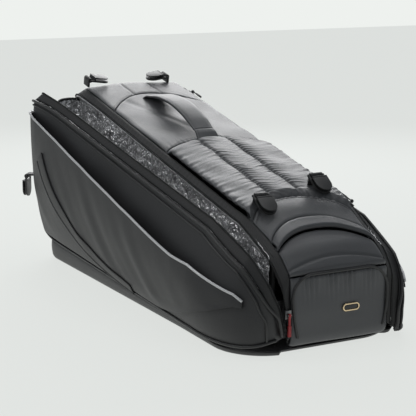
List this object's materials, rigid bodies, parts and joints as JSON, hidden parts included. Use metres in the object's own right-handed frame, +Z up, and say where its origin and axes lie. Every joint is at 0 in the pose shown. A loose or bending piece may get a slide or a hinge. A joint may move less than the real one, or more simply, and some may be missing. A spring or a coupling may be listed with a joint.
{
  "type": "racket tournament bag",
  "caption": "Wedge-shaped racket tournament bag with zipped side compartments, side pockets, strap clips and a padded carry handle; the left compartment stands open.",
  "frame": {"origin": "on the ground under the middle section's centre line, halfway along the bag", "axes": "+X towards the low handle end of the bag, +Y towards the closed right-hand compartment, +Z up"},
  "size_m": [0.7967, 0.3816, 0.3512],
  "materials": {
    "shell_fabric": "smooth coated woven, satin",
    "top_fabric": "smooth coated woven over foam, satin",
    "base_fabric": "heavier coated base fabric",
    "inner_board": "semi-rigid sheet",
    "divider_pad": "lined foam pad",
    "thermal_foil": "crinkled metallised film",
    "piping": "bound cord piping",
    "reflective_piping": "grey reflective",
    "zip_black": "nylon coil on woven tape",
    "slider_metal": "gunmetal",
    "pull_cord": "red braided cord",
    "webbing": "woven nylon webbing",
    "clip_plastic": "moulded, fine grain",
    "badge_metal": "pale gold, polished",
    "badge_enamel": "dark enamel"
  },
  "bodies": {
    "bag_body": {"far_yoke": "top_fabric", "handle_bay_panel": "top_fabric", "quilted_pad": "top_fabric", "near_yoke": "top_fabric", "nose_hood": "top_fabric", "nose_panel": "top_fabric", "nose_end_panel": "top_fabric", "far_end_panel": "top_fabric", "end_panel_piping": "piping", "base_tray": "base_fabric", "base_board": "inner_board", "left_divider": "divider_pad", "left_divider_foil": "thermal_foil", "right_divider": "divider_pad", "right_divider_foil": "thermal_foil", "left_body_zip": "zip_black", "right_body_zip": "zip_black", "left_nose_zip": "zip_black", "left_near_gusset": "webbing", "left_far_gusset": "webbing", "handle_far_anchor": "top_fabric", "handle_near_anchor": "top_fabric", "near_left_clip_loop": "webbing", "near_right_clip_loop": "webbing", "far_left_clip_loop": "webbing", "far_right_clip_loop": "webbing", "badge_frame": "badge_metal", "badge_insert": "badge_enamel"},
    "left_wall": {"left_wall": "shell_fabric", "left_wall_foil": "thermal_foil", "left_pocket": "shell_fabric", "left_pocket_piping": "reflective_piping", "left_wall_piping": "piping", "left_pocket_band": "shell_fabric", "left_wall_zip": "zip_black", "side_clip_loop": "webbing"},
    "right_wall": {"right_wall": "shell_fabric", "right_wall_foil": "thermal_foil", "right_pocket": "shell_fabric", "right_pocket_piping": "reflective_piping", "right_wall_piping": "piping", "right_pocket_band": "shell_fabric", "right_wall_zip": "zip_black"},
    "handle": {"handle_strap": "top_fabric"},
    "left_near_slider": {"left_near_slider": "slider_metal"},
    "left_near_puller": {"left_near_puller": "pull_cord"},
    "right_near_slider": {"right_near_slider": "slider_metal"},
    "right_near_puller": {"right_near_puller": "pull_cord"},
    "right_far_slider": {"right_far_slider": "slider_metal"},
    "right_far_puller": {"right_far_puller": "pull_cord"},
    "near_left_clip": {"near_left_clip": "clip_plastic"},
    "near_left_clip_gate": {"near_left_clip_gate": "clip_plastic"},
    "near_right_clip": {"near_right_clip": "clip_plastic"},
    "near_right_clip_gate": {"near_right_clip_gate": "clip_plastic"},
    "far_left_clip": {"far_left_clip": "clip_plastic"},
    "far_left_clip_gate": {"far_left_clip_gate": "clip_plastic"},
    "far_right_clip": {"far_right_clip": "clip_plastic"},
    "far_right_clip_gate": {"far_right_clip_gate": "clip_plastic"},
    "side_clip": {"side_clip": "clip_plastic"},
    "side_clip_gate": {"side_clip_gate": "clip_plastic"}
  },
  "joints": [
    {"name": "left_wall_open", "type": "hinge", "parent": "bag_body", "child": "left_wall", "pos_m": [0, -0.175, 0.025], "axis": [0.999, 0, -0.0441], "range_deg": [-14, 20], "deforming": ["left_near_gusset", "left_far_gusset"]},
    {"name": "right_wall_open", "type": "hinge", "parent": "bag_body", "child": "right_wall", "pos_m": [0, 0.14, 0.025], "axis": [-0.999, 0, 0.0441], "range_deg": [0, 34]},
    {"name": "handle_swing", "type": "hinge", "parent": "bag_body", "child": "handle", "pos_m": [-0.24515, 0, 0.31987], "axis": [0.9756, 0, -0.2194], "range_deg": [-20, 20], "stiffness_Nm_per_rad": 0.12},
    {"name": "left_near_slide", "type": "slide", "parent": "bag_body", "child": "left_near_slider", "axis": [0, 0, 1], "range_m": [0, 0.03]},
    {"name": "left_near_pull", "type": "hinge", "parent": "left_near_slider", "child": "left_near_puller", "pos_m": [0.3894, -0.0934, 0.062], "axis": [0, -1, 0], "range_deg": [0, 150]},
    {"name": "right_near_slide", "type": "slide", "parent": "bag_body", "child": "right_near_slider", "axis": [-0.9756, 0, 0.2194], "range_m": [0, 0.24]},
    {"name": "right_near_pull", "type": "hinge", "parent": "right_near_slider", "child": "right_near_puller", "pos_m": [0.24278, 0.11485, 0.18755], "axis": [-0.1438, 0.7555, -0.6392], "range_deg": [0, 150]},
    {"name": "right_far_slide", "type": "slide", "parent": "bag_body", "child": "right_far_slider", "axis": [0.9756, 0, -0.2194], "range_m": [0, 0.24]},
    {"name": "right_far_pull", "type": "hinge", "parent": "right_far_slider", "child": "right_far_puller", "pos_m": [-0.30532, 0.11485, 0.31081], "axis": [0.1438, -0.7555, 0.6392], "range_deg": [0, 150]},
    {"name": "near_left_clip_swing", "type": "hinge", "parent": "bag_body", "child": "near_left_clip", "pos_m": [0.25226, -0.062, 0.21458], "axis": [0, -1, 0], "range_deg": [0, 95]},
    {"name": "near_left_gate_flex", "type": "hinge", "parent": "near_left_clip", "child": "near_left_clip_gate", "pos_m": [0.26484, -0.062, 0.21306], "axis": [0, -1, 0], "range_deg": [0, 10], "stiffness_Nm_per_rad": 0.06},
    {"name": "near_right_clip_swing", "type": "hinge", "parent": "bag_body", "child": "near_right_clip", "pos_m": [0.21579, 0.062, 0.22995], "axis": [0, -1, 0], "range_deg": [0, 95]},
    {"name": "near_right_gate_flex", "type": "hinge", "parent": "near_right_clip", "child": "near_right_clip_gate", "pos_m": [0.22838, 0.062, 0.22843], "axis": [0, -1, 0], "range_deg": [0, 10], "stiffness_Nm_per_rad": 0.06},
    {"name": "far_left_clip_swing", "type": "hinge", "parent": "bag_body", "child": "far_left_clip", "pos_m": [-0.34206, -0.091, 0.34208], "axis": [0.9756, 0, -0.2194], "range_deg": [0, 95]},
    {"name": "far_left_gate_flex", "type": "hinge", "parent": "far_left_clip", "child": "far_left_clip_gate", "pos_m": [-0.34103, -0.07923, 0.34667], "axis": [0.9756, 0, -0.2194], "range_deg": [0, 10], "stiffness_Nm_per_rad": 0.06},
    {"name": "far_right_clip_swing", "type": "hinge", "parent": "bag_body", "child": "far_right_clip", "pos_m": [-0.34206, 0.072, 0.34208], "axis": [-0.9756, 0, 0.2194], "range_deg": [0, 95]},
    {"name": "far_right_gate_flex", "type": "hinge", "parent": "far_right_clip", "child": "far_right_clip_gate", "pos_m": [-0.34103, 0.06023, 0.34667], "axis": [-0.9756, 0, 0.2194], "range_deg": [0, 10], "stiffness_Nm_per_rad": 0.06},
    {"name": "side_clip_swing", "type": "hinge", "parent": "left_wall", "child": "side_clip", "pos_m": [-0.38902, -0.20041, 0.15806], "axis": [-0.788, 0.6157, 0], "range_deg": [0, 95]},
    {"name": "side_gate_flex", "type": "hinge", "parent": "side_clip", "child": "side_clip_gate", "pos_m": [-0.3929, -0.20537, 0.14706], "axis": [-0.788, 0.6157, 0], "range_deg": [0, 10], "stiffness_Nm_per_rad": 0.06}
  ]
}
